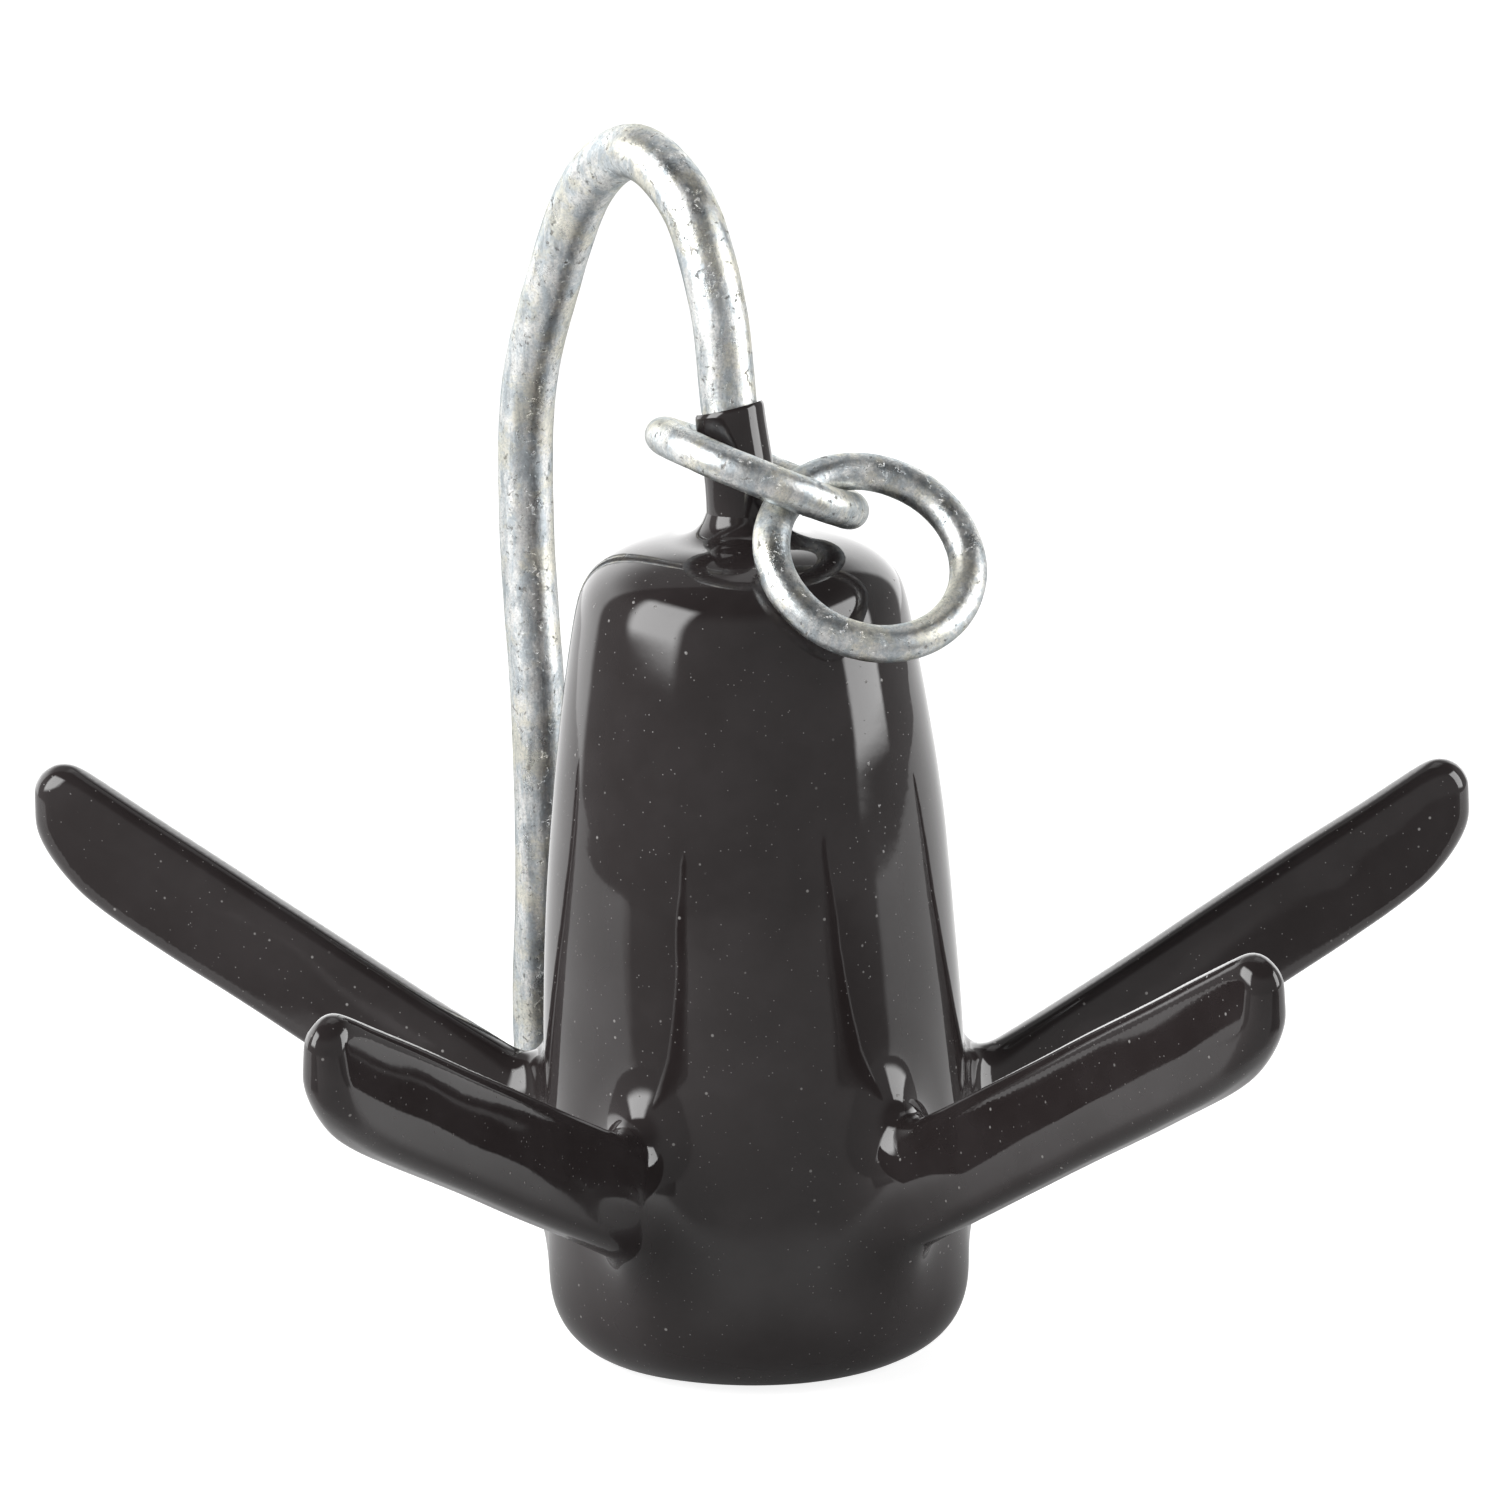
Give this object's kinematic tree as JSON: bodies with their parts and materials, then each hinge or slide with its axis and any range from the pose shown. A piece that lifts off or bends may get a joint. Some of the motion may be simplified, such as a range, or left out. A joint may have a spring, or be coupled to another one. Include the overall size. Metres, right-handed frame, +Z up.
{
  "type": "boat anchor",
  "caption": "Vinyl-coated cast iron river anchor with upswept flukes, a bent rod hoop, a slip ring that rides on it and a line ring.",
  "frame": {"origin": "centre of the flat round base, on the body's axis", "axes": "+Z up along the body's axis; -Y is the front, the side with two flukes; +X is the right, the longest side; the hoop's plane leans 143 degrees round from the front towards the left"},
  "size_m": [0.3151, 0.3065, 0.2621],
  "materials": {
    "vinyl": "black dipped vinyl, glossy, slightly wavy",
    "zinc": "hot-dip galvanised steel, light grey, pitted and unevenly bright",
    "iron": "raw sand-cast iron, hidden under the vinyl"
  },
  "bodies": {
    "anchor": {"iron_casting": "iron", "hoop_rod": "zinc", "body_coat": "vinyl", "neck_sleeve": "vinyl", "foot_sleeve": "vinyl", "fluke_coat_front_left": "vinyl", "fluke_coat_front_right": "vinyl", "fluke_coat_rear_right": "vinyl", "fluke_coat_rear": "vinyl", "fluke_coat_rear_left": "vinyl"},
    "slip_ring": {"slip_ring": "zinc"},
    "line_ring": {"line_ring": "zinc"}
  },
  "joints": [
    {"name": "slip_ring_ride", "type": "hinge", "parent": "anchor", "child": "slip_ring", "pos_m": [-0.0328, 0.0435, 0.192], "axis": [-0.5757, -0.753, 0.3187], "range_deg": [0, 75]},
    {"name": "line_ring_swing", "type": "hinge", "parent": "slip_ring", "child": "line_ring", "pos_m": [0.0224, -0.0117, 0.1849], "axis": [-0.15, -0.8908, 0.4289], "range_deg": [0, 105]}
  ]
}
